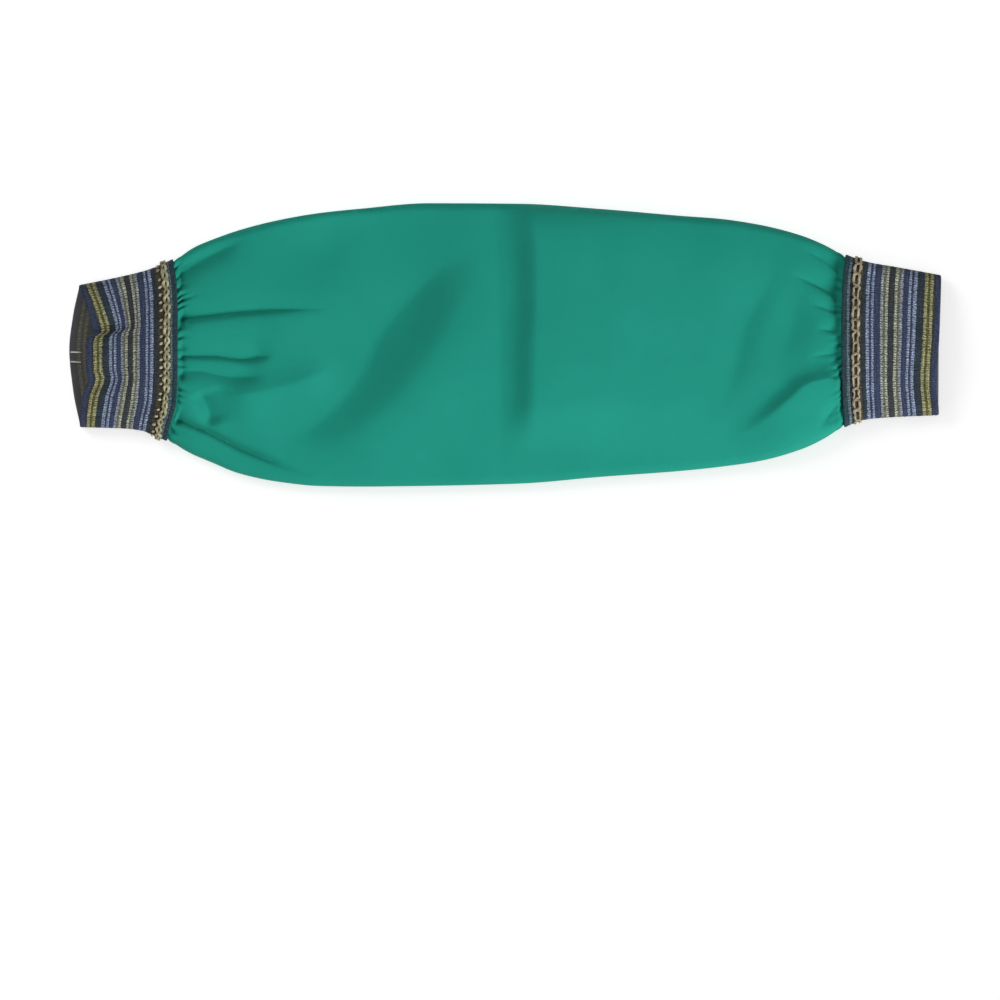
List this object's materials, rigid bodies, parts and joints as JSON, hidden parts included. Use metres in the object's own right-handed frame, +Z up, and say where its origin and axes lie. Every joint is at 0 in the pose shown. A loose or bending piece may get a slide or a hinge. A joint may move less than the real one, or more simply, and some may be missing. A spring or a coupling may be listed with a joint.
{
  "type": "flame-resistant sleeve",
  "caption": "Flame-resistant work sleeve lying flat: a gathered green cotton tube with a striped elastic cuff at each end, worn over the forearm.",
  "frame": {"origin": "middle of the underside of the sleeve's box, on the surface that it lies on", "axes": "+X along the sleeve from the upper-arm cuff to the wrist cuff, +Y across it, +Z up from the surface"},
  "size_m": [0.457, 0.1492, 0.0234],
  "materials": {
    "green_cotton": "treated green cotton, matt with a soft sheen",
    "striped_elastic": "woven elastic with navy, steel-blue, gold and cream stripes"
  },
  "bodies": {
    "root": {"sleeve_body": "green_cotton", "upper_arm_cuff": "striped_elastic", "wrist_cuff": "striped_elastic"}
  },
  "joints": []
}
